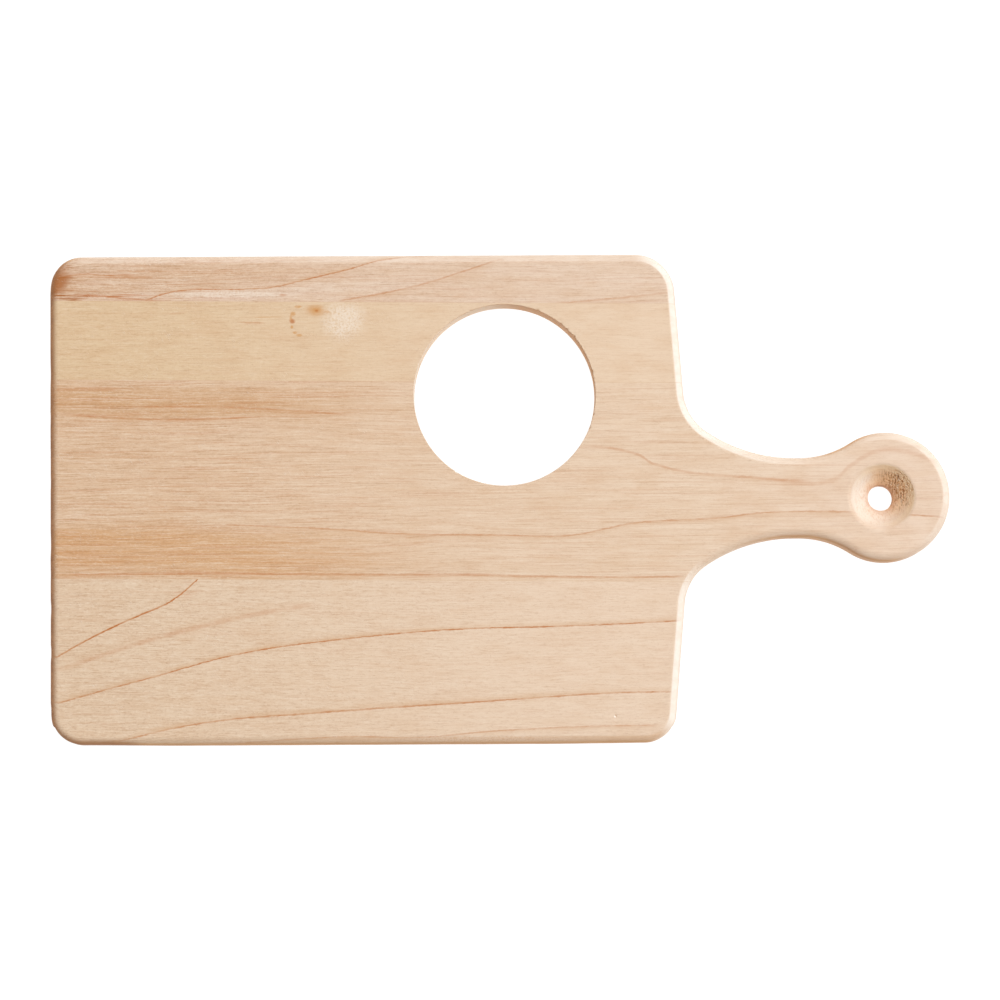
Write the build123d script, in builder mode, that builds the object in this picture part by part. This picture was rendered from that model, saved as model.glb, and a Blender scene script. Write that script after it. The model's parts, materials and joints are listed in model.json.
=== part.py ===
"""Paddle cutting board: four edge-glued strips of wood, a round cup hole and a countersunk hanging hole.

Millimetres, +Z up. The origin is the middle of the board on the surface it lies on. +X runs along the grain
towards the handle, and +Y towards the long edge that the cup hole is nearer to, called the back edge here.
"""

import os
from math import atan2, cos, degrees, radians, sin, sqrt, tan

from build123d import *

# Whole board
overall_length = 349.25
board_width = 190.0
board_thickness = 19.05
edge_round = 3.175

# Body: a rectangle whose handle end flares back from square by the shoulder angle
body_length = 241.6
shoulder_angle = 4.65
end_corner_radius = 12.5
back_shoulder_corner_radius = 15.5
front_shoulder_corner_radius = 12.0

# Handle: two arcs lead from the shoulder into the neck, and one arc leads from the neck into the round knob
neck_width = 30.8
shoulder_arc_radius = 20.4
shoulder_arc_end_angle = 34.3
neck_arc_radius = 60.6
knob_radius = 25.1
knob_arc_radius = 36.5

# Cup hole through the body
cup_hole_radius = 35.2
cup_hole_x = 1.9
cup_hole_y = 40.3

# Hanging hole through the knob: a straight bore with a wide countersink on the upper face only
hanging_hole_radius = 5.0
hanging_hole_x = 148.1
countersink_radius = 12.8
countersink_angle = 86.0
countersink_rim_round = 2.0

# Glue joints: parallel to each other, and turned a little from the board's long edges
seam_angle = -0.55
seam_back_y = 76.1
seam_hole_y = 45.4
seam_front_y = -31.9
glue_thickness = 0.1

os.makedirs("parts", exist_ok=True)

left_x = -overall_length / 2
shoulder_x = left_x + body_length
knob_x = overall_length / 2 - knob_radius
half_width = board_width / 2
half_neck = neck_width / 2

# Where the straight shoulder ends and the first arc begins
shoulder_heading = 90 - shoulder_angle
shoulder_arc_rise = cos(radians(shoulder_arc_end_angle)) - cos(radians(shoulder_heading))
neck_arc_rise = 1 - cos(radians(shoulder_arc_end_angle))
shoulder_foot_y = half_neck + shoulder_arc_radius * shoulder_arc_rise + neck_arc_radius * neck_arc_rise
shoulder_foot_x = shoulder_x + (half_width - shoulder_foot_y) * tan(radians(shoulder_angle))

# Where the arc from the neck into the knob touches each of them
knob_arc_y = half_neck + knob_arc_radius
knob_arc_x = knob_x - sqrt((knob_radius + knob_arc_radius) ** 2 - knob_arc_y**2)
knob_touch_angle = degrees(atan2(knob_arc_y, knob_arc_x - knob_x))


def corner(x, y):
    """The sketch's vertex at a corner of the body."""
    return vertices().sort_by_distance((x, y))[0]


# The finished shape of the whole board, before it is divided into its strips
with BuildPart() as board:
    with BuildSketch():
        with BuildLine():
            body_side = Polyline(
                (left_x, 0),
                (left_x, half_width),
                (shoulder_x, half_width),
                (shoulder_foot_x, shoulder_foot_y),
            )
            shoulder_arc = JernArc(
                start=body_side @ 1,
                tangent=body_side % 1,
                radius=shoulder_arc_radius,
                arc_size=shoulder_heading - shoulder_arc_end_angle,
            )
            neck_arc = JernArc(
                start=shoulder_arc @ 1,
                tangent=shoulder_arc % 1,
                radius=neck_arc_radius,
                arc_size=shoulder_arc_end_angle,
            )
            neck = Line(neck_arc @ 1, (knob_arc_x, half_neck))
            knob = CenterArc((knob_x, 0), knob_radius, 0, knob_touch_angle)
            TangentArc(neck @ 1, knob @ 1, tangent=neck % 1)
            mirror(about=Plane.XZ)
        make_face()
        fillet([corner(left_x, half_width), corner(left_x, -half_width)], end_corner_radius)
        fillet(corner(shoulder_x, half_width), back_shoulder_corner_radius)
        fillet(corner(shoulder_x, -half_width), front_shoulder_corner_radius)
    extrude(amount=board_thickness)
    flat_faces = faces().sort_by(Axis.Z)
    fillet(flat_faces[0].edges() + flat_faces[-1].edges(), edge_round)
    with Locations((cup_hole_x, cup_hole_y, board_thickness)):
        Hole(cup_hole_radius)
    with Locations((hanging_hole_x, 0, board_thickness)):
        CounterSinkHole(hanging_hole_radius, countersink_radius, counter_sink_angle=countersink_angle)
    top_circles = faces().sort_by(Axis.Z)[-1].edges().filter_by(GeomType.CIRCLE)
    fillet(top_circles.sort_by_distance((hanging_hole_x, 0, board_thickness))[0], countersink_rim_round)


def seam(y, side):
    """The upright face of a glue film, on the film's back side (+1) or front side (-1)."""
    along = Vector(cos(radians(seam_angle)), sin(radians(seam_angle)))
    across = Vector(-along.Y, along.X)
    return Plane(
        origin=Vector(0, y) + across * side * glue_thickness / 2,
        x_dir=along,
        z_dir=across,
    )


def make_piece(name, front=None, back=None):
    """Cut the board down to what lies between two seam faces, or its own edge where one isn't given."""
    with BuildPart() as piece:
        add(board.part)
        if front is not None:
            split(bisect_by=front, keep=Keep.TOP)
        if back is not None:
            split(bisect_by=back, keep=Keep.BOTTOM)
    piece.part.label = name
    export_step(piece.part, f"parts/{name}.step")


# The four strips, from the back edge to the front edge
make_piece("stave_back_edge", front=seam(seam_back_y, 1))
make_piece("stave_hole_side", front=seam(seam_hole_y, 1), back=seam(seam_back_y, -1))
make_piece("stave_handle", front=seam(seam_front_y, 1), back=seam(seam_hole_y, -1))
make_piece("stave_front_edge", back=seam(seam_front_y, -1))

# The cured glue films between them; the cup hole cuts the middle one in two
make_piece("glue_line_back", front=seam(seam_back_y, -1), back=seam(seam_back_y, 1))
make_piece("glue_line_hole", front=seam(seam_hole_y, -1), back=seam(seam_hole_y, 1))
make_piece("glue_line_front", front=seam(seam_front_y, -1), back=seam(seam_front_y, 1))
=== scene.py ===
"""Looks for the paddle cutting board: sanded wooden strips with solid grain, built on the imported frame.

Lengths below are in millimetres in the part's own frame, +X along the grain towards the handle, +Y towards
the back edge and +Z up, and are turned into metres where a mesh or a Blender object is made.
"""

import json
import math
from collections import namedtuple

import bmesh
import bpy
from mathutils import Matrix, Vector, kdtree, noise
from mathutils.geometry import delaunay_2d_cdt


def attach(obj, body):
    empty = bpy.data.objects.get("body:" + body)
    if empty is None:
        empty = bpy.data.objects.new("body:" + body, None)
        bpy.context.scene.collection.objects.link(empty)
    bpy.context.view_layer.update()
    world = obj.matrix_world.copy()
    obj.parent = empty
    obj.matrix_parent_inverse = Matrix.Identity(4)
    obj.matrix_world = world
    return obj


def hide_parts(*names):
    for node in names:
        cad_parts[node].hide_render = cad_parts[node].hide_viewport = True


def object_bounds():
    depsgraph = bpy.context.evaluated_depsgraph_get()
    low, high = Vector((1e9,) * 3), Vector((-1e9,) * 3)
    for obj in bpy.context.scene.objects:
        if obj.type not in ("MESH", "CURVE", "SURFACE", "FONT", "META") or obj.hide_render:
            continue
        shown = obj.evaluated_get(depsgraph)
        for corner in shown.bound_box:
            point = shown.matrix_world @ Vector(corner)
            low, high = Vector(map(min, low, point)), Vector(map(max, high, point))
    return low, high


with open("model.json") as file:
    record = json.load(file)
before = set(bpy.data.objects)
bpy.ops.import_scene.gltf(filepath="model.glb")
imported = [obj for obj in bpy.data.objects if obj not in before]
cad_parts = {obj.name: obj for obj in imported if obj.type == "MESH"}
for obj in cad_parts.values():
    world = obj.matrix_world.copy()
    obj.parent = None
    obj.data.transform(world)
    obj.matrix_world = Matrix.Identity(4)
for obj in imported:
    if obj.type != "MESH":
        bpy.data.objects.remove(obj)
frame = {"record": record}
cad_low, cad_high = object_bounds()

MM = 0.001
LENGTH, WIDTH, THICK = ((high - low) / MM for low, high in zip(cad_low, cad_high))
LEFT = cad_low.x / MM
TOP = cad_high.z / MM

# Outline, as in the CAD model
EDGE_ROUND = 3.175
BODY_LENGTH = 241.6
SHOULDER_ANGLE = 4.65
END_CORNER = 12.5
BACK_SHOULDER_CORNER = 15.5
FRONT_SHOULDER_CORNER = 12.0
HALF_NECK = 15.4
SHOULDER_ARC = 20.4
SHOULDER_ARC_END = 34.3
NECK_ARC = 60.6
KNOB = 25.1
KNOB_ARC = 36.5

# Holes: the frame's mounts say where they are
MOUNTS = {mount["name"]: mount for mount in frame["record"]["mounts"]}
CUP_X, CUP_Y = (c / MM for c in MOUNTS["cup_hole"]["pos_m"][:2])
CUP_R = MOUNTS["cup_hole"]["dims"]["r_mm"]
PEG_X, PEG_Y = (c / MM for c in MOUNTS["hanging_hole"]["pos_m"][:2])
PEG_R = MOUNTS["hanging_hole"]["dims"]["r_mm"]
PEG_WALL = MOUNTS["hanging_hole"]["dims"]["length_mm"]
SINK_R = 12.8
SINK_RIM = 2.0

# Glue joints
SEAM_ANGLE = -0.55
SEAM_BACK = 76.1
SEAM_HOLE = 45.4
SEAM_FRONT = -31.9
GLUE = 0.1


# ---------------------------------------------------------------------------------------------------------
# Outline
# ---------------------------------------------------------------------------------------------------------

class Walk:
    """An outline walked clockwise as straight runs and tangent arcs, kept as points with outward normals."""

    def __init__(self, x, y, heading, step):
        self.x, self.y, self.heading, self.step = x, y, heading, step
        self.points = []
        self.mark()

    def mark(self):
        outward = math.radians(self.heading + 90)
        self.points.append((self.x, self.y, math.cos(outward), math.sin(outward)))

    def forward(self, distance):
        count = max(1, math.ceil(distance / self.step))
        for _ in range(count):
            self.x += distance / count * math.cos(math.radians(self.heading))
            self.y += distance / count * math.sin(math.radians(self.heading))
            self.mark()

    def arc(self, radius, turn):
        """Turns left by a positive angle and right by a negative one."""
        count = max(2, math.ceil(radius * abs(math.radians(turn)) / self.step))
        chord = 2 * radius * math.sin(abs(math.radians(turn)) / count / 2)
        for _ in range(count):
            middle = math.radians(self.heading + turn / count / 2)
            self.x += chord * math.cos(middle)
            self.y += chord * math.sin(middle)
            self.heading += turn / count
            self.mark()


def half_outline(shoulder_corner, step=1.0):
    """The back half, from the middle of the square end round to the tip of the knob."""
    half_width = WIDTH / 2
    shoulder_turn = 90 - SHOULDER_ANGLE
    rise = SHOULDER_ARC * (math.cos(math.radians(SHOULDER_ARC_END)) - math.cos(math.radians(shoulder_turn)))
    rise += NECK_ARC * (1 - math.cos(math.radians(SHOULDER_ARC_END)))
    shoulder_run = (half_width - HALF_NECK - rise) / math.cos(math.radians(SHOULDER_ANGLE))
    tangent = shoulder_corner * math.tan(math.radians(shoulder_turn / 2))
    knob_x = LEFT + LENGTH - KNOB
    knob_arc_x = knob_x - math.sqrt((KNOB + KNOB_ARC) ** 2 - (HALF_NECK + KNOB_ARC) ** 2)
    knob_turn = math.degrees(math.atan2(knob_x - knob_arc_x, HALF_NECK + KNOB_ARC))

    walk = Walk(LEFT, 0, 90, step)
    walk.forward(half_width - END_CORNER)
    walk.arc(END_CORNER, -90)
    walk.forward(BODY_LENGTH - END_CORNER - tangent)
    walk.arc(shoulder_corner, -shoulder_turn)
    walk.forward(shoulder_run - tangent)
    walk.arc(SHOULDER_ARC, shoulder_turn - SHOULDER_ARC_END)
    walk.arc(NECK_ARC, SHOULDER_ARC_END)
    walk.forward(knob_arc_x - walk.x)
    walk.arc(KNOB_ARC, knob_turn)
    walk.arc(KNOB, -90 - knob_turn)
    return walk.points


def whole_outline():
    back = half_outline(BACK_SHOULDER_CORNER)
    front = [(x, -y, nx, -ny) for x, y, nx, ny in half_outline(FRONT_SHOULDER_CORNER)]
    return back + front[-2:0:-1]


def ring(x, y, radius, count):
    """A closed circle of points, clockwise."""
    angles = [-2 * math.pi * i / count for i in range(count)]
    return [(x + radius * math.cos(a), y + radius * math.sin(a)) for a in angles]


# ---------------------------------------------------------------------------------------------------------
# The whole board as one closed shell, before it is divided into its strips
# ---------------------------------------------------------------------------------------------------------

# How far the holes' sharp rims are sanded back, and the angle at which the edges' rounding meets the faces
RIM_BREAK = 0.2
EDGE_BREAK = math.radians(6)

SINK_SLOPE = math.atan2(TOP - PEG_WALL, SINK_R - PEG_R)
SINK_EDGE = SINK_R + SINK_RIM * math.tan(SINK_SLOPE / 2)

# The small pit near the front edge
PIT_X, PIT_Y = 44.2, -84.6
PIT_DEPTH = 0.4
PIT_SPREAD = 0.12

# Points round the holes, and the spacing of the points on the faces
CUP_POINTS = 560
PEG_POINTS = 300
GRID = 2.0


def edge_profile(steps=8, wall_steps=8):
    """
    (inset, height) down the board's outer edge, from the upper face to the lower one. The rounding meets the
    faces at a slight angle, as a cutter leaves it, with a narrow guard strip to keep that edge crisp.
    """
    radius = EDGE_ROUND / (1 - math.sin(EDGE_BREAK))
    rounded = [(EDGE_ROUND + 0.2, 0)]
    for i in range(steps + 1):
        angle = EDGE_BREAK + (math.pi / 2 - EDGE_BREAK) * i / steps
        rounded.append((radius * (1 - math.sin(angle)), radius * (math.cos(EDGE_BREAK) - math.cos(angle))))
    reach = rounded[-1][1]
    wall = TOP - 2 * reach
    upper = [(inset, TOP - drop) for inset, drop in rounded]
    middle = [(0, TOP - reach - wall * i / wall_steps) for i in range(1, wall_steps)]
    lower = [(inset, drop) for inset, drop in reversed(rounded)]
    return upper + middle + lower


def cup_profile():
    """(radius, height) down the wall of the cup hole, closely spaced near the upper rim."""
    heights = [TOP - RIM_BREAK - 0.35 * i for i in range(7)]
    lowest = heights[-1]
    heights += [lowest - (lowest - RIM_BREAK) * i / 9 for i in range(1, 10)]
    return [(CUP_R + RIM_BREAK, TOP)] + [(CUP_R, z) for z in heights] + [(CUP_R + RIM_BREAK, 0)]


def peg_profile(rim_steps=9, cone_steps=40, wall_steps=8):
    """(radius, height) down the countersink, with its rounded rim, and the hanging hole's straight wall."""
    profile = []
    for i in range(rim_steps + 1):
        angle = SINK_SLOPE * i / rim_steps
        profile.append((SINK_EDGE - SINK_RIM * math.sin(angle), TOP - SINK_RIM * (1 - math.cos(angle))))
    radius, height = profile[-1]
    for i in range(1, cone_steps + 1):
        share = i / cone_steps
        profile.append((radius + (PEG_R - radius) * share, height + (PEG_WALL - height) * share))
    for i in range(1, wall_steps + 1):
        profile.append((PEG_R, PEG_WALL + (RIM_BREAK - PEG_WALL) * i / wall_steps))
    return profile + [(PEG_R + RIM_BREAK, 0)]


def sleeve(bm, loops):
    """Quads between closed loops of points; returns the vertices of the first and the last loop."""
    rows = [[bm.verts.new(point) for point in loop] for loop in loops]
    for upper, lower in zip(rows, rows[1:]):
        for i in range(len(upper)):
            bm.faces.new((upper[i - 1], upper[i], lower[i], lower[i - 1]))
    return rows[0], rows[-1]


def flat(bm, loops, holes, fine_rings):
    """Fills the face between closed loops of vertices with a triangle grid, finer round the fine_rings."""
    points, edges, corner_of = [], [], []
    for loop in loops:
        start = len(points)
        points += [Vector(v.co.xy) for v in loop]
        edges += [(start + i, start + (i + 1) % len(loop)) for i in range(len(loop))]
        corner_of += loop
    for x, y, radius, count in fine_rings:
        points += [Vector(p) for p in ring(x, y, radius, count)]
    near = kdtree.KDTree(len(points))
    for i, p in enumerate(points):
        near.insert((p.x, p.y, 0), i)
    near.balance()
    row_height = GRID * math.sqrt(0.75)
    for row in range(int(WIDTH / row_height) + 1):
        y = -WIDTH / 2 + row * row_height
        for column in range(int(LENGTH / GRID) + 1):
            x = LEFT + (column + 0.5 * (row % 2)) * GRID
            if near.find((x, y, 0))[2] > 0.7 * GRID:
                points.append(Vector((x, y)))
    height = loops[0][0].co.z
    corners, _, triangles, sources, _, _ = delaunay_2d_cdt(points, edges, [], 1, 1e-5)
    made = {}
    for triangle in triangles:
        middle = sum((corners[i] for i in triangle), Vector((0, 0))) / 3
        if any((middle - Vector((x, y))).length < radius for x, y, radius in holes):
            continue
        for i in triangle:
            if i not in made:
                known = [s for s in sources[i] if s < len(corner_of)]
                made[i] = corner_of[known[0]] if known else bm.verts.new((*corners[i], height))
        bm.faces.new([made[i] for i in triangle])


def close_rings(x, y, radius, count, offsets):
    """Rings of points beside a hole, thinning out as they get further away."""
    return [(x, y, radius + offset, max(12, int(count / (1 + 1.6 * offset)))) for offset in offsets]


def board_shell():
    bm = bmesh.new()
    outline = whole_outline()
    outer = [[(x - nx * d, y - ny * d, z) for x, y, nx, ny in outline] for d, z in edge_profile()]
    cup = [[(*p, z) for p in ring(CUP_X, CUP_Y, r, CUP_POINTS)] for r, z in cup_profile()]
    peg = [[(*p, z) for p in ring(PEG_X, PEG_Y, r, PEG_POINTS)] for r, z in peg_profile()]
    edges = [sleeve(bm, loops) for loops in (outer, cup, peg)]
    upper, lower = zip(*edges)
    beside_cup = close_rings(CUP_X, CUP_Y, CUP_R, CUP_POINTS, (0.65, 1.2, 2.0, 3.0))
    beside_sink = close_rings(PEG_X, PEG_Y, SINK_EDGE, PEG_POINTS, (0.5, 1.2, 2.2))
    beside_peg = close_rings(PEG_X, PEG_Y, PEG_R, PEG_POINTS // 2, (0.6, 1.3, 2.4))
    in_pit = [(PIT_X, PIT_Y, r, 12) for r in (0.2, 0.5, 0.9)]
    cup_hole = (CUP_X, CUP_Y, CUP_R + RIM_BREAK)
    flat(bm, upper, [cup_hole, (PEG_X, PEG_Y, SINK_EDGE)], beside_cup + beside_sink + in_pit)
    flat(bm, lower, [cup_hole, (PEG_X, PEG_Y, PEG_R + RIM_BREAK)], beside_cup + beside_peg)
    bmesh.ops.recalc_face_normals(bm, faces=bm.faces)
    return bm


# ---------------------------------------------------------------------------------------------------------
# Hand-made irregularities: every point moves into the wood, never out of the CAD model
# ---------------------------------------------------------------------------------------------------------

# Chips round the cup hole's upper rim: angle in degrees, width along the rim and depth
RIM_CHIPS = (
    (68.4, 0.6, 0.35), (51.3, 0.5, 0.4), (46.0, 0.4, 0.3), (39.7, 0.6, 0.45), (14.9, 0.5, 0.35),
    (-12.6, 0.4, 0.3), (-21.6, 0.6, 0.35), (112.0, 0.5, 0.2), (160.0, 0.4, 0.2), (238.0, 0.5, 0.2),
)


def smooth(low, high, value):
    share = min(1.0, max(0.0, (value - low) / (high - low)))
    return share * share * (3 - 2 * share)


def wave(point, size, seed):
    """Smooth noise from 0 to 1 whose bumps are about `size` across; size may differ along each axis."""
    sizes = size if isinstance(size, tuple) else (size,) * 3
    spot = Vector((point.x / sizes[0] + seed, point.y / sizes[1], point.z / sizes[2]))
    return min(1.0, max(0.0, 0.5 + 0.5 * noise.noise(spot)))


def edge_wear(point, normal):
    """How far the outer edge has been sanded back: wavy, and more towards the ends of the front edge."""
    sideways = 1 - abs(normal.z)
    wear = 0.1 * wave(point, (14, 14, 30), 3) + 0.04 * wave(point, (3, 3, 9), 8)
    square_end = smooth(LEFT + 5, LEFT + 1, point.x)
    wear += square_end * 0.2 * smooth(0.5, 0.8, wave(point, (9, 6, 40), 21))
    if normal.y < -0.4 and point.x < LEFT + BODY_LENGTH:
        wear += 0.3 * smooth(15, 60, point.x) + 0.4 * smooth(-120, -165, point.x)
    return wear * sideways


def rim_chips(point):
    """How far the chips and the roughness of the cup hole's upper rim reach into the wood."""
    around = math.degrees(math.atan2(point.y - CUP_Y, point.x - CUP_X))
    off_rim = abs(math.hypot(point.x - CUP_X, point.y - CUP_Y) - CUP_R)
    below = TOP - point.z
    if off_rim > 1.6 or below > 2.6:
        return 0
    depth = 0.06 * wave(point, 1.3, 5)
    for angle, width, deep in RIM_CHIPS:
        along = math.radians((around - angle + 180) % 360 - 180) * CUP_R
        depth += deep * math.exp(-((along / width) ** 2) - (off_rim / 0.5) ** 2 - (below / 0.8) ** 2)
    return depth


def torn_grain(point):
    """Fibres pulled out of the countersink on the side where the cutter met the grain head on."""
    across = math.hypot(point.x - PEG_X, point.y - PEG_Y)
    if across > SINK_R + 0.8 or point.z < PEG_WALL - 0.5:
        return 0
    around = math.degrees(math.atan2(point.y - PEG_Y, point.x - PEG_X))
    side = math.exp(-(((around - 30) / 36) ** 2))
    band = smooth(PEG_R, PEG_R + 1.2, across) * smooth(SINK_R + 0.3, SINK_R - 1.2, across)
    pulled = smooth(0.5, 0.68, wave(point, (0.9, 0.6, 0.6), 40))
    pulled += 0.6 * smooth(0.5, 0.7, wave(point, 0.45, 44))
    return band * (side * 0.3 * pulled + 0.03 * wave(point, 1.1, 11))


def wear_down(bm):
    """Moves every point of the shell into the wood by what the wear at that place takes away."""
    bm.normal_update()
    moves = []
    for v in bm.verts:
        place, outward = v.co, v.normal
        in_cup = math.hypot(place.x - CUP_X, place.y - CUP_Y) < CUP_R + 0.6
        in_peg = math.hypot(place.x - PEG_X, place.y - PEG_Y) < SINK_EDGE + 0.1
        depth = 0.045 * wave(place, (30, 12, 12), 1) * abs(outward.z)
        if not in_cup and not in_peg:
            depth += edge_wear(place, outward)
        depth += rim_chips(place) + torn_grain(place)
        if outward.z > 0.9:
            off_pit = (place.x - PIT_X) ** 2 + (place.y - PIT_Y) ** 2
            depth += PIT_DEPTH * math.exp(-off_pit / PIT_SPREAD)
        moves.append(-outward * depth)
    for v, move in zip(bm.verts, moves):
        v.co += move


# ---------------------------------------------------------------------------------------------------------
# Dividing the shell along the glue joints
# ---------------------------------------------------------------------------------------------------------

SEAM_ALONG = Vector((math.cos(math.radians(SEAM_ANGLE)), math.sin(math.radians(SEAM_ANGLE)), 0))
SEAM_ACROSS = Vector((-SEAM_ALONG.y, SEAM_ALONG.x, 0))


def cut(bm, seam_y, side, keep):
    """Cuts the shell at a face of a glue film and caps it. keep is 1 for what is behind, -1 for in front."""
    place = Vector((0, seam_y, 0)) + SEAM_ACROSS * side * GLUE / 2
    geometry = bm.verts[:] + bm.edges[:] + bm.faces[:]
    bmesh.ops.bisect_plane(
        bm, geom=geometry, dist=1e-5, plane_co=place, plane_no=SEAM_ACROSS * keep, clear_inner=True
    )
    bmesh.ops.holes_fill(bm, edges=[e for e in bm.edges if e.is_boundary], sides=0)


def make_piece(shell, name, node, front=None, back=None):
    """One strip or glue film: what lies between two seam faces, each given as (seam, side of the film)."""
    bm = shell.copy()
    if front:
        cut(bm, *front, keep=1)
    if back:
        cut(bm, *back, keep=-1)
    bmesh.ops.recalc_face_normals(bm, faces=bm.faces)
    bmesh.ops.scale(bm, vec=(MM, MM, MM), verts=bm.verts)
    mesh = bpy.data.meshes.new(name)
    bm.to_mesh(mesh)
    bm.free()
    mesh.shade_smooth()
    mesh.set_sharp_from_angle(angle=math.radians(32))
    piece = bpy.data.objects.new(name, mesh)
    bpy.context.scene.collection.objects.link(piece)
    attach(piece, "root")
    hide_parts(node)
    return piece


shell = board_shell()
wear_down(shell)
back_strip = make_piece(shell, "back_edge_strip", "stave_back_edge", front=(SEAM_BACK, 1))
hole_strip = make_piece(
    shell, "hole_side_strip", "stave_hole_side", front=(SEAM_HOLE, 1), back=(SEAM_BACK, -1)
)
handle_strip = make_piece(
    shell, "handle_strip", "stave_handle", front=(SEAM_FRONT, 1), back=(SEAM_HOLE, -1)
)
front_strip = make_piece(shell, "front_edge_strip", "stave_front_edge", back=(SEAM_FRONT, -1))
GLUE_LINES = (("glue_line_back", SEAM_BACK), ("glue_line_hole", SEAM_HOLE), ("glue_line_front", SEAM_FRONT))
glue_films = [
    make_piece(shell, f"{node}_film", node, front=(seam, -1), back=(seam, 1)) for node, seam in GLUE_LINES
]
shell.free()


# ---------------------------------------------------------------------------------------------------------
# Wood: one solid grain per strip, so that rings and fibres run on through the edges, holes and underside
# ---------------------------------------------------------------------------------------------------------

def srgb(red, green, blue):
    """A screen colour (0 to 255) as linear light with an alpha."""
    parts = [c / 255 for c in (red, green, blue)]
    return (*[p / 12.92 if p <= 0.04045 else ((p + 0.055) / 1.055) ** 2.4 for p in parts], 1)


# Growth rings, fibres and pores
RING = srgb(187, 107, 42)
RING_SHADE = srgb(207, 161, 116)
OCHRE = srgb(208, 152, 92)
FIBRE = srgb(188, 145, 107)
PALE = srgb(245, 228, 207)
PORE = srgb(150, 100, 62)

# Raised and torn fibres and the stained corner; the pale fuzz colour is also laid on as painted highlight and
# painted light, and the cream and honey colours only as painted light
FUZZ_AND_HIGHLIGHT = srgb(247, 235, 222)
CREAM_LIGHT = srgb(255, 230, 196)
HONEY_LIGHT = srgb(246, 204, 154)
CRUSHED = srgb(140, 86, 44)
STAIN = srgb(168, 98, 38)

# Painted shade for walls and rounding turned from the lamps, and the browner square end: end grain and
# painted shade
SIDE_SHADE = srgb(224, 171, 112)
SIDE_SHADE_DARK = srgb(196, 138, 84)
END_GRAIN_AND_SHADE = srgb(182, 130, 88)
END_GRAIN_AND_SHADE_DARK = srgb(146, 94, 56)


class Value:
    """A shader node's output; sums and products of values add Math nodes."""

    def __init__(self, recipe, socket):
        self.recipe, self.socket = recipe, socket

    def __add__(self, other):
        return self.recipe.math("ADD", self, other)

    def __sub__(self, other):
        return self.recipe.math("SUBTRACT", self, other)

    def __rsub__(self, other):
        return self.recipe.math("SUBTRACT", other, self)

    def __mul__(self, other):
        return self.recipe.math("MULTIPLY", self, other)

    def __abs__(self):
        return self.recipe.math("ABSOLUTE", self)

    __radd__ = __add__
    __rmul__ = __mul__


class Recipe:
    """A material written as expressions over the place in the board, in millimetres."""

    def __init__(self, name):
        self.material = bpy.data.materials.new(name)
        self.material.use_nodes = True
        self.nodes = self.material.node_tree.nodes
        self.links = self.material.node_tree.links
        self.nodes.clear()
        texture = self.nodes.new("ShaderNodeTexCoord")
        place = self.nodes.new("ShaderNodeSeparateXYZ")
        facing = self.nodes.new("ShaderNodeSeparateXYZ")
        self.links.new(texture.outputs["Object"], place.inputs[0])
        self.links.new(texture.outputs["Normal"], facing.inputs[0])
        self.x, self.y, self.z = (Value(self, socket) * (1 / MM) for socket in place.outputs)
        self.facing = [Value(self, socket) for socket in facing.outputs]

    def add(self, kind, inputs, output=0, **settings):
        node = self.nodes.new(kind)
        for key, setting in settings.items():
            setattr(node, key, setting)
        for socket, value in inputs.items():
            if isinstance(value, Value):
                self.links.new(value.socket, node.inputs[socket])
            else:
                node.inputs[socket].default_value = value
        return Value(self, node.outputs[output])

    def math(self, operation, *values):
        return self.add("ShaderNodeMath", dict(enumerate(values)), operation=operation)

    def smooth(self, low, high, value):
        """0 at low, 1 at high, eased between; low may be the larger."""
        ends = {"Value": value, "From Min": low, "From Max": high}
        return self.add("ShaderNodeMapRange", ends, interpolation_type="SMOOTHSTEP")

    def mix(self, factor, first, second):
        return self.add("ShaderNodeMix", {0: factor, 6: first, 7: second}, 2, data_type="RGBA")

    def noise(self, size, seed, across=None, along=None, detail=2.0, rough=0.55):
        """Noise from 0 to 1, with bumps of the given size (along, across, down) in millimetres."""
        across = self.y if across is None else across
        along = self.x if along is None else along
        spot = {0: along * (1 / size[0]) + seed, 1: across * (1 / size[1]), 2: self.z * (1 / size[2])}
        spot = self.add("ShaderNodeCombineXYZ", spot)
        inputs = {"Vector": spot, "Scale": 1, "Detail": detail, "Roughness": rough}
        return self.add("ShaderNodeTexNoise", inputs)

    def path(self, points):
        """The y of a line through the given (x, y) points, level beyond its ends."""
        curve = self.nodes.new("ShaderNodeFloatCurve")
        curve.mapping.extend = "HORIZONTAL"
        handles = curve.mapping.curves[0].points
        while len(handles) < len(points):
            handles.new(0.5, 0.5)
        for handle, (x, y) in zip(handles, points):
            handle.location = ((x - LEFT) / LENGTH, y / WIDTH + 0.5)
            handle.handle_type = "AUTO"
        curve.mapping.update()
        share = (self.x - LEFT) * (1 / LENGTH)
        self.links.new(share.socket, curve.inputs["Value"])
        return (Value(self, curve.outputs[0]) - 0.5) * WIDTH

    def distance(self, x, y, reach_x=1.0, reach_y=1.0):
        """How far a place is from the upright line through (x, y), counted in reaches."""
        along = (self.x - x) * (1 / reach_x)
        across = (self.y - y) * (1 / reach_y)
        return self.math("SQRT", along * along + across * across)

    def patch(self, x, y, reach_x, reach_y, seed):
        """1 in the middle of a ragged patch about (x, y), 0 outside it."""
        ragged = self.noise((reach_x * 0.5, reach_y * 0.5, 6), 60 + seed) - 0.5
        return self.smooth(1.0, 0.3, self.distance(x, y, reach_x, reach_y) + ragged * 0.5)

    def finish(self, colour, roughness, height):
        bump = self.add("ShaderNodeBump", {"Height": height, "Strength": 1, "Distance": MM}, "Normal")
        looks = {"Base Color": colour, "Roughness": roughness, "Normal": bump, "Specular IOR Level": 0.3}
        surface = self.add("ShaderNodeBsdfPrincipled", looks)
        output = self.nodes.new("ShaderNodeOutputMaterial")
        self.links.new(surface.socket, output.inputs["Surface"])
        return self.material


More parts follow.
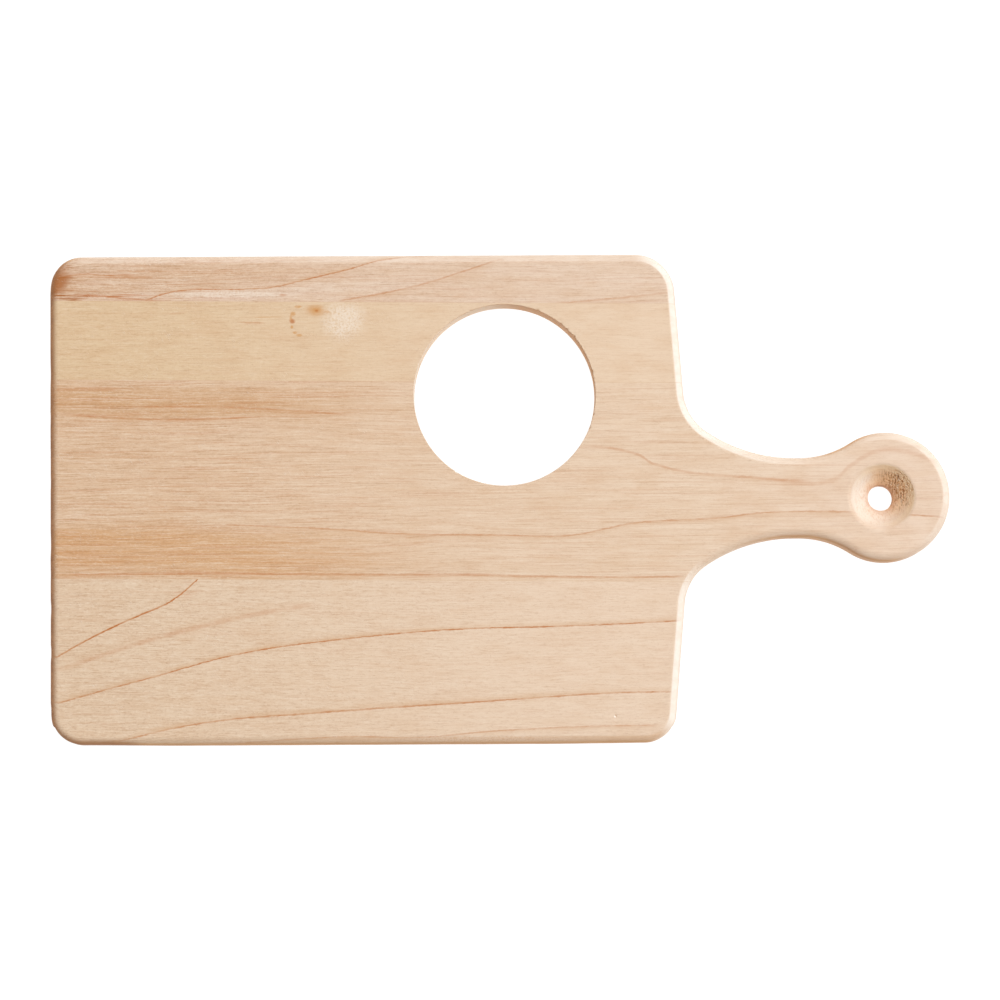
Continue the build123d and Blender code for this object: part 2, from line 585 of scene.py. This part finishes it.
# A darker or paler stripe of wood: how far it reaches above and below its line
Band = namedtuple("Band", "points above below tint strength")

# The line of one year's growth and the shade beside it, below the line or, if shade is negative, above it
Ring = namedtuple("Ring", "points strength line shade")

# A ragged patch on the upper face; kind names the pattern that it is broken up by
Spot = namedtuple("Spot", "x y reach_x reach_y tint strength kind")


class Wood(Recipe):
    """
    The grain of one strip. Its colour is laid on in layers, each tinting what is already there. The strip's
    seed tells its noise from the other strips', and a number tells one noise in the strip from the next.
    """

    def __init__(self, name, seed, left, right, handle, tilt, lean):
        super().__init__(name)
        self.seed = seed
        self.depth = TOP - self.z
        sway = self.grain(1, (70, 22, 30), detail=1) - 0.5
        jag = self.grain(2, (2.6, 0.5, 0.5), detail=2, rough=0.7) - 0.5
        self.across = self.y + self.depth * tilt + sway * 1.2 + jag * 0.9
        self.straight = self.y + sway * 3 + jag * 0.5 + self.smooth(20, LEFT, self.x) * lean
        self.streaks = self.smooth(0.25, 0.7, self.grain(4, (80, 1.3, 2.5), self.straight, detail=3))

        # Fibres stand out more towards the square end
        self.raking = self.smooth(40, LEFT, self.x) * 0.55 + self.smooth(140, 60, self.x) * 0.15 + 0.45

        # Lighter towards the handle: partly the strip's own change of tone, partly painted light from the
        # side the key lamp stands on
        self.colour = self.mix(self.smooth(LEFT, 70, self.x), left, right)
        if handle:
            self.tint(self.smooth(60, 170, self.x), handle)

    def grain(self, number, size, across=None, along=None, **settings):
        """One of the strip's noises."""
        return self.noise(size, self.seed + number, across, along, **settings)

    def tint(self, factor, colour):
        """Turns the wood's colour towards another one, fully where factor is 1."""
        self.colour = self.mix(factor, self.colour, colour)

    def lay_clouds(self, clouds, fibres):
        """Soft darker patches, and wider streaks along the grain."""
        cloudy = self.smooth(0.4, 0.72, self.grain(13, (14, 5.5, 7), detail=3, rough=0.6))
        self.tint(cloudy * clouds, RING_SHADE)
        mottle = self.smooth(0.35, 0.7, self.grain(3, (60, 3.2, 7), self.straight, detail=3))
        self.tint(mottle * 0.14 * fibres, RING_SHADE)

    def lay_bands(self, bands, fibres):
        """Thin brown lines along the grain, and the bands, in which there are more of them."""
        lines = self.grain(20, (45, 0.65, 0.9), self.straight, detail=2, rough=0.5)
        dark_lines = self.smooth(0.54, 0.63, lines)
        self.tint(dark_lines * self.raking * (0.2 * fibres), RING)
        for band in bands:
            off = self.across - self.path(band.points)
            above = self.smooth(band.above, band.above * 0.3, off)
            below = self.smooth(-band.below, -band.below * 0.3, off)
            first_x, last_x = band.points[0][0], band.points[-1][0]
            ends = self.smooth(first_x - 25, first_x, self.x) * self.smooth(last_x + 90, last_x, self.x)
            where = above * below * ends
            self.tint(where * (self.streaks * 0.65 + 0.35) * band.strength, band.tint)
            self.tint(where * dark_lines * band.strength * 0.3, RING)

    def lay_fibres(self, fibres, dashes):
        """Dark and pale fibres of three lengths, and the pores among the shortest."""
        self.long_fibres = self.grain(5, (19, 0.42, 0.6), self.straight, detail=3, rough=0.65)
        self.short_fibres = self.grain(6, (4.5, 0.36, 0.35), self.straight, detail=2, rough=0.6)
        self.fine_fibres = self.grain(7, (1.1, 0.42, 0.3), self.straight, detail=2, rough=0.7)
        dark = self.smooth(0.52, 0.68, self.long_fibres) * (0.42 * fibres)
        dark += self.smooth(0.52, 0.68, self.short_fibres) * (0.34 * dashes)
        pale = self.smooth(0.47, 0.3, self.long_fibres) * (0.3 * fibres)
        pale += self.smooth(0.47, 0.3, self.short_fibres) * (0.28 * dashes)
        self.tint(dark * self.raking, FIBRE)
        self.tint(pale * self.raking, PALE)
        self.pores = self.smooth(0.54, 0.7, self.fine_fibres)
        self.tint(self.pores * self.raking * (0.22 * dashes), PORE)
        self.tint(self.smooth(0.45, 0.3, self.fine_fibres) * self.raking * (0.3 * dashes), PALE)

    def lay_rings(self, rings):
        broken = self.smooth(0.3, 0.62, self.grain(8, (6, 40, 40), detail=2))
        for one in rings:
            off = self.across - self.path(one.points)
            first_x, last_x = one.points[0][0], one.points[-1][0]
            ends = self.smooth(first_x - 6, first_x + 6, self.x) * self.smooth(last_x + 6, last_x - 6, self.x)
            line = self.smooth(one.line, one.line * 0.2, abs(off)) * (0.35 + 0.65 * broken)
            near = one.line if one.shade > 0 else -one.line
            shade = self.smooth(-one.shade, 0, off) * self.smooth(near, 0, off)
            self.tint(shade * ends * one.strength * (self.streaks * 0.5 + 0.2), RING_SHADE)
            self.tint(line * ends * one.strength * 0.95, RING)

    def lay_spots(self, spots):
        torn = self.smooth(0.5, 0.62, self.grain(14, (13, 0.45, 0.6), detail=3, rough=0.6))
        woolly = self.smooth(0.3, 0.6, self.grain(15, (0.6, 0.6, 2), detail=1))

        # Patterns in the countersink, told by how far below the upper face they are
        slant = self.x * 0.5 + self.y * 0.85
        below_lip = self.smooth(0.6, 2.2, self.depth)
        bristles = self.grain(16, (1.6, 0.52, 3), self.x, slant, detail=2, rough=0.65)
        flecks = self.grain(17, (0.9, 0.4, 3), self.x, slant, detail=1)
        kinds = {
            "plain": 1,
            "torn": torn,
            "woolly": woolly,
            "sunken": self.smooth(0.1, 2.0, self.depth),
            "lip": self.smooth(0.05, 0.6, self.depth) * self.smooth(3.6, 1.6, self.depth),
            "bristles": self.smooth(0.5, 0.6, bristles) * below_lip,
            "flecks": self.smooth(0.52, 0.62, flecks) * below_lip,
        }
        near_face = self.smooth(12, 6, self.depth)
        for number, spot in enumerate(spots):
            patch = self.patch(spot.x, spot.y, spot.reach_x, spot.reach_y, seed=number)
            self.tint(patch * near_face * kinds[spot.kind] * spot.strength, spot.tint)

    def lay_scratches(self):
        """Short slanting sanding marks, in a few places of the left half."""
        slanted = self.x * 0.6 - self.y * 0.8
        beside = self.x * 0.8 + self.y * 0.6
        where = self.smooth(0.55, 0.7, self.grain(9, (10, 6, 30), detail=1)) * self.smooth(60, -120, self.x)
        marks = self.smooth(0.66, 0.8, self.grain(10, (0.34, 1.9, 5), slanted, beside, detail=0))
        self.scratches = marks * where
        self.tint(self.scratches * 0.25, FUZZ_AND_HIGHLIGHT)

    def lay_edges(self):
        """Tints what faces outwards by the way it faces: painted highlight on rounding turned to the lamps,
        painted shade on walls and rounding turned away from them, paler walls as painted light where they
        face the lamps, and the browner square end, end grain and painted shade.
        """
        out_x, out_y, up = self.facing
        sideways = self.math("SQRT", out_x * out_x + out_y * out_y + 1e-4)
        rightwards = self.math("DIVIDE", out_x, sideways)
        backwards = self.math("DIVIDE", out_y, sideways)
        outside = self.smooth(0.02, 0.1, sideways)
        rounded = self.smooth(0.2, 0.55, up) * self.smooth(0.997, 0.95, up) * outside

        # The rounding that faces the lamps, towards the handle's end and the back, is whitened by patchy
        # raised fibres and painted highlight, most where it faces the handle's end; not in the countersink
        off_sink = self.smooth(SINK_R + 2, SINK_R + 4, self.distance(PEG_X, PEG_Y))
        lit_rounding = rounded * off_sink * self.smooth(-0.1, 0.9, rightwards * 0.87 + backwards * 0.5)
        fuzzy = self.smooth(0.35, 0.65, self.grain(11, (7, 2.5, 2.5), detail=3))
        facing_lamp_highlight = self.smooth(0, 0.6, rightwards) * (0.52 - self.smooth(100, 150, self.x) * 0.4)
        self.tint(lit_rounding * (fuzzy * 0.25 + 0.26 + facing_lamp_highlight), FUZZ_AND_HIGHLIGHT)

        layers = self.grain(18, (300, 2.4, 60), self.across, detail=3, rough=0.6)
        self.layered = self.smooth(0.4, 0.62, layers)
        self.pitted = self.smooth(0.42, 0.62, self.grain(19, (4, 0.55, 0.55), detail=2, rough=0.7))
        # Browner colours laid on as painted shade: for walls and rounding, and, with the end grain, for the
        # square end
        side_shade_colour = self.mix(self.streaks * 0.5 + self.layered * 0.3, SIDE_SHADE, SIDE_SHADE_DARK)
        end_grain_and_shade_colour = self.mix(self.layered * 0.45 + self.pitted * 0.45, END_GRAIN_AND_SHADE, END_GRAIN_AND_SHADE_DARK)
        right_part = self.smooth(-130, 0, self.x) * self.smooth(70, 60, self.x)
        # Painted shade: the front rounding, turned away from the lamps, is tinted darker over the middle of
        # the board
        self.tint(rounded * self.smooth(-0.4, -1, backwards) * right_part * 0.3, side_shade_colour)

        # Walls: painted shade tints those turned away from the lamps darker and browner, and painted light
        # makes those that face the handle's end or the back paler, as most of the cup hole's wall
        self.upright = self.smooth(0.8, 0.35, abs(up))
        in_cup = self.smooth(CUP_R + 3, CUP_R + 1, self.distance(CUP_X, CUP_Y))
        lamp_side = out_x + self.math("MAXIMUM", out_y, 0) * 0.5
        lit_wall = self.smooth(0.02, 0.5, lamp_side + in_cup * 0.25)
        self.tint(self.upright * (0.8 - lit_wall * 0.8), side_shade_colour)
        self.tint(self.upright * lit_wall * 0.3, PALE)

        # The square end and the front corner beside it, turned away from the lamps: browner end grain and
        # painted shade
        corner_side = (0 - out_y) * self.smooth(LEFT + 48, LEFT + 22, self.x)
        end_side = self.math("MAXIMUM", 0 - out_x, corner_side)
        shaded_end = self.smooth(0.2, 0.88, end_side) * self.smooth(LEFT + 48, LEFT + 30, self.x)
        self.tint(shaded_end * 0.88, end_grain_and_shade_colour)

    def finish_wood(self):
        """Adds roughness and fine relief to the colour, with the end grain pitted."""
        end_grain = self.smooth(0.6, 0.95, abs(self.facing[0]))
        chatter = self.grain(12, (0.7, 7, 20), detail=1) * self.smooth(40, -130, self.x)
        roughness = 0.58 + 0.16 * self.long_fibres + 0.08 * end_grain - 0.04 * self.upright
        height = (self.long_fibres + self.short_fibres) * 0.045 + self.fine_fibres * 0.02
        height = height - self.pores * 0.02 + self.scratches * 0.04 + chatter * 0.02
        height = height - end_grain * (self.pitted * 0.06 + self.layered * 0.03)
        return self.finish(self.colour, roughness, height)


def wood(
    name, seed, left, right, handle=None, tilt=0.5, lean=0.0, fibres=1.0, dashes=1.0, clouds=0.2, bands=(),
    rings=(), spots=(),
):
    """
    One strip's material. left, right and handle are its colours along the board. tilt is how far the rings
    move sideways with depth, and lean how far the fibres slant at the square end. fibres, dashes and clouds
    say how strongly long fibres, short ones and soft patches show.
    """
    strip = Wood(name, seed, left, right, handle, tilt, lean)
    strip.lay_clouds(clouds, fibres)
    strip.lay_bands(bands, fibres)
    strip.lay_fibres(fibres, dashes)
    strip.lay_rings(rings)
    strip.lay_spots(spots)
    strip.lay_scratches()
    strip.lay_edges()
    return strip.finish_wood()


BACK_RINGS = (
    Ring(
        (
            (-139.3, 76.6), (-132, 79.7), (-123.8, 81.5), (-98.8, 81.9), (-87.1, 82.7), (-75.5, 85.4),
            (-59.1, 89.1), (-44, 93.2), (-26.7, 95.1),
        ),
        0.8, 0.36, -1.6,
    ),
    Ring(((-61.7, 77.4), (-30.6, 83.1), (-15.1, 88.0), (0.5, 93.4)), 0.45, 0.5, 3.5),
    Ring(((15.9, 75.1), (64.4, 79.5)), 0.3, 0.5, 3.0),
    Ring(((-172.0, 86.0), (-164.8, 87.9), (-150.8, 87.5), (-138, 87.3)), 0.45, 0.42, 1.2),
)
BACK_BANDS = (
    Band(((-172, 84), (-120, 89)), 6, 9, RING_SHADE, 0.38),
    Band(((-132, 80.5), (-88, 80.8), (-70, 83.5)), 1.2, 3.5, FUZZ_AND_HIGHLIGHT, 0.25),
)
BACK_SPOTS = (
    # The stained corner and the dark fibres that run out of it
    Spot(-160, 79.0, 28, 3.6, RING, 0.9, "torn"),
    Spot(-140, 77.2, 14, 1.6, RING, 0.75, "torn"),
    Spot(-157, 87.3, 27, 1.8, RING, 0.65, "torn"),
    Spot(-174.5, 86, 10, 11, STAIN, 0.85, "plain"),
    Spot(-172, 90.5, 12, 6, STAIN, 0.6, "torn"),
    Spot(-170, 78.2, 15, 4, STAIN, 0.95, "torn"),
    Spot(-166, 83.5, 17, 5, STAIN, 0.5, "torn"),
    Spot(-84, 79.6, 2.2, 0.6, RING, 0.5, "plain"),
    Spot(-104, 80, 30, 2.4, FUZZ_AND_HIGHLIGHT, 0.3, "woolly"),
)

HOLE_SPOTS = (
    # The small knot and the arc of dots beside it
    Spot(-71.4, 73.6, 5.2, 3.2, OCHRE, 0.6, "plain"),
    Spot(-71.2, 73.6, 2.4, 1.4, OCHRE, 0.7, "plain"),
    Spot(-71.0, 73.4, 1.0, 0.6, RING, 0.6, "plain"),
    Spot(-66.8, 72.9, 1.6, 0.8, OCHRE, 0.5, "plain"),
    Spot(-78.2, 75.0, 2.0, 0.8, OCHRE, 0.7, "plain"),
    Spot(-80.2, 72.2, 1.5, 1.2, OCHRE, 0.75, "plain"),
    Spot(-80.5, 69.4, 1.5, 1.4, RING, 0.75, "plain"),
    Spot(-80.6, 67.1, 0.8, 0.9, OCHRE, 0.8, "plain"),
    Spot(-79.4, 64.9, 1.2, 0.8, OCHRE, 0.75, "plain"),
    Spot(-77.8, 63.9, 1.6, 0.8, OCHRE, 0.7, "plain"),
    Spot(-81.0, 70.6, 0.7, 1.6, OCHRE, 0.6, "plain"),
    # The pale rough patch, and short dark fibres
    Spot(-60.6, 69.6, 11, 10.5, FUZZ_AND_HIGHLIGHT, 0.5, "woolly"),
    Spot(-96.7, 68.7, 7, 0.9, RING, 0.5, "torn"),
    Spot(-128, 73, 9, 1.2, RING, 0.4, "torn"),
    Spot(-92, 71, 9, 1, OCHRE, 0.5, "torn"),
)

HANDLE_RINGS = (
    Ring(
        (
            (-104.8, -9.7), (-65.3, -11.6), (-38.9, -13.6), (1.7, -14.4), (27.1, -14.5), (40.5, -12.0),
            (50, -10.0), (85.3, -8.0), (100.9, -6.1), (135.8, -5.9),
        ),
        0.45, 0.45, 2.5,
    ),
    Ring(((159.1, -7.2), (170.7, -8.0)), 0.55, 0.45, 1.0),
    Ring(((-170.9, -28.7), (-77.8, -28.8), (38.6, -30.6), (69.7, -30.8)), 0.45, 0.6, 1.5),
    Ring(((35.0, 20.6), (54.4, 16.6), (59.0, 13.5), (100.9, 7.5), (118, 6.6)), 0.32, 0.8, 2.5),
    # The wide faint ring that bends round the hanging hole
    Ring(
        ((106, 7.1), (128.1, 6.5), (135.9, 12.3), (147.5, 18.1), (155.3, 18.0), (166.9, 14.1)), 0.16, 1.4, 3.0
    ),
    Ring(((-165, 33.2), (-130, 31.5), (-97, 32.0)), 0.5, 0.5, 1.2),
    Ring(((-138, 36.5), (-100, 35.8), (-60, 33)), 0.45, 0.45, 1.5),
)
HANDLE_BANDS = (
    Band(((-175, 39.5), (-140, 38.9), (-110, 38.5)), 8, 10, RING_SHADE, 0.82),
    Band(((-175, -18), (-135, -18), (-100, -21)), 12, 15, OCHRE, 0.62),
)
HANDLE_SPOTS = (
    # The countersink: painted light lifts its slopes, most on the left slope that faces the lamps, and warms
    # the shaded upper right and the lip; torn where the cutter met the grain head on
    Spot(PEG_X, 0, 30, 30, FUZZ_AND_HIGHLIGHT, 0.4, "sunken"),
    Spot(PEG_X - 10, 1, 10, 15, FUZZ_AND_HIGHLIGHT, 0.5, "sunken"),
    Spot(PEG_X + 6.5, 5.5, 15, 15, HONEY_LIGHT, 0.7, "sunken"),
    Spot(PEG_X + 7.0, 4.4, 11, 12.5, CRUSHED, 0.95, "bristles"),
    Spot(PEG_X + 7.0, 4.4, 10.5, 12, PALE, 0.9, "flecks"),
    Spot(PEG_X + 6, 5, 20, 20, CREAM_LIGHT, 0.8, "lip"),
    Spot(PEG_X, 9.0, 5, 3.0, OCHRE, 0.4, "torn"),
    Spot(PEG_X, 0, 15, 15, OCHRE, 0.4, "flecks"),
    # The browner edge of the bore
    Spot(PEG_X, 0, 7.8, 7.8, RING, 0.95, "sunken"),
)

FRONT_RINGS = (
    Ring(
        ((-172.3, -60.9), (-155.3, -51.7), (-140, -44.8), (-128.3, -39.5), (-118.5, -31.8), (-110, -22)),
        1.0, 0.48, -0.9,
    ),
    Ring(((-171.1, -65.6), (-116.7, -49.2), (-74, -40.9)), 0.22, 1.4, -4.5),
    Ring(
        (
            (-171.2, -78.4), (-136.2, -68.9), (-97.3, -59), (-66.3, -54.7), (-19.7, -50.7), (23, -49.8),
            (69.6, -47.9),
        ),
        0.82, 0.38, -2.4,
    ),
    Ring(
        (
            (-148, -93.2), (-114.7, -86.2), (-76, -83.0), (-47, -81.0), (-18, -79.2), (11, -77.4),
            (40, -75.7), (66.3, -75.2),
        ),
        0.68, 0.44, -2.8,
    ),
    Ring(((-100, -95), (-60, -92), (-33, -92.5), (0, -90), (60, -88)), 0.4, 0.45, 2.0),
)
FRONT_SPOTS = (
    Spot(-8, -93.2, 55, 1.9, FUZZ_AND_HIGHLIGHT, 0.4, "woolly"),
    Spot(-155, -86, 7, 1.2, RING, 0.5, "torn"),
    Spot(-152, -83.5, 6, 1, RING, 0.4, "torn"),
    Spot(-150, -75, 22, 9, FIBRE, 0.3, "torn"),
    Spot(-122, -35, 7, 4, RING, 0.5, "torn"),
)

back_wood = wood(
    "back_edge_wood", 10, srgb(223, 193, 168), srgb(231, 206, 184), tilt=0.35, fibres=1.1, dashes=0.95,
    bands=BACK_BANDS, rings=BACK_RINGS, spots=BACK_SPOTS,
)
hole_wood = wood(
    "hole_side_wood", 20, srgb(223, 194, 157), srgb(233, 207, 180), tilt=0.6, fibres=0.34, dashes=0.6,
    spots=HOLE_SPOTS,
)
handle_wood = wood(
    "handle_wood", 30, srgb(223, 191, 160), srgb(233, 208, 183), srgb(236, 211, 189), tilt=0.45, fibres=1.1,
    dashes=0.72, bands=HANDLE_BANDS, rings=HANDLE_RINGS, spots=HANDLE_SPOTS,
)
front_wood = wood(
    "front_edge_wood", 40, srgb(226, 200, 172), srgb(234, 209, 185), tilt=-0.55, lean=-2.0, fibres=0.42,
    dashes=0.95, clouds=0.15, rings=FRONT_RINGS, spots=FRONT_SPOTS,
)
glue = Recipe("dried_glue")
speckle = glue.noise((6, 2, 2), 3)
glue_colour = glue.mix(speckle, srgb(224, 194, 160), srgb(212, 178, 142))
# Painted shade: the films' ends at the square end are darkened like the wood there
glue_colour = glue.mix(glue.smooth(-0.2, -0.85, glue.facing[0]) * 0.9, glue_colour, END_GRAIN_AND_SHADE_DARK)
glue_look = glue.finish(glue_colour, speckle * 0.2 + 0.45, speckle * 0.02)

for piece, material in (
    (back_strip, back_wood), (hole_strip, hole_wood), (handle_strip, handle_wood), (front_strip, front_wood),
    *[(film, glue_look) for film in glue_films],
):
    piece.data.materials.append(material)


# ---------------------------------------------------------------------------------------------------------
# Floor, light and camera
# ---------------------------------------------------------------------------------------------------------

def plain_floor(half_size):
    mesh = bpy.data.meshes.new("floor")
    corners = [(-1, -1), (1, -1), (1, 1), (-1, 1)]
    height = cad_low.z - 0.0002
    mesh.from_pydata([(x * half_size, y * half_size, height) for x, y in corners], [], [(0, 1, 2, 3)])
    floor = bpy.data.objects.new("floor", mesh)
    bpy.context.scene.collection.objects.link(floor)
    paper = bpy.data.materials.new("floor_paper")
    paper.use_nodes = True
    surface = paper.node_tree.nodes["Principled BSDF"]
    surface.inputs["Base Color"].default_value = (0.12, 0.12, 0.12, 1)
    surface.inputs["Roughness"].default_value = 0.9
    surface.inputs["Emission Color"].default_value = (1, 1, 1, 1)
    surface.inputs["Emission Strength"].default_value = 0.98
    mesh.materials.append(paper)


def soft_light(name, azimuth, elevation, distance, size, watts, colour):
    """A square studio light turned towards the middle of the board."""
    lamp = bpy.data.lights.new(name, "AREA")
    lamp.color = colour
    lamp.shape = "SQUARE"
    lamp.size = size
    lamp.energy = watts
    light = bpy.data.objects.new(name, lamp)
    turn, rise = math.radians(azimuth), math.radians(elevation)
    away = Vector((math.cos(turn) * math.cos(rise), math.sin(turn) * math.cos(rise), math.sin(rise)))
    light.location = away * distance
    light.rotation_euler = away.to_track_quat("Z", "Y").to_euler()
    bpy.context.scene.collection.objects.link(light)


def room_light(strength, colour):
    world = bpy.data.worlds.new("room")
    world.use_nodes = True
    world.node_tree.nodes["Background"].inputs["Color"].default_value = (*colour, 1)
    world.node_tree.nodes["Background"].inputs["Strength"].default_value = strength
    bpy.context.scene.world = world


def overhead_camera(place, aim, roll, lens):
    """Looks almost straight down; the board's back edge is at the top of the picture, turned by roll."""
    lens_data = bpy.data.cameras.new("camera")
    lens_data.lens = lens
    camera = bpy.data.objects.new("camera", lens_data)
    back = (Vector(place) - Vector(aim)).normalized()
    up = Vector((math.sin(math.radians(roll)), math.cos(math.radians(roll)), 0))
    right = up.cross(back).normalized()
    up = back.cross(right)
    facing = Matrix((right, up, back)).transposed().to_4x4()
    camera.matrix_world = Matrix.Translation(Vector(place) * MM) @ facing
    bpy.context.scene.collection.objects.link(camera)
    bpy.context.scene.camera = camera


DAYLIGHT = (0.87, 0.945, 1)
WARM_ROOM = (1, 0.79, 0.62)

plain_floor(half_size=3)
soft_light("key_light", azimuth=5, elevation=48, distance=5, size=3, watts=201, colour=DAYLIGHT)
soft_light("back_light", azimuth=108, elevation=45, distance=5, size=3, watts=109, colour=DAYLIGHT)
room_light(strength=0.315, colour=WARM_ROOM)
overhead_camera(place=(-17.6, -135.7, 2400), aim=(0, 0.5, 0), roll=0.3, lens=221.4)
bpy.context.scene.view_settings.view_transform = "Standard"
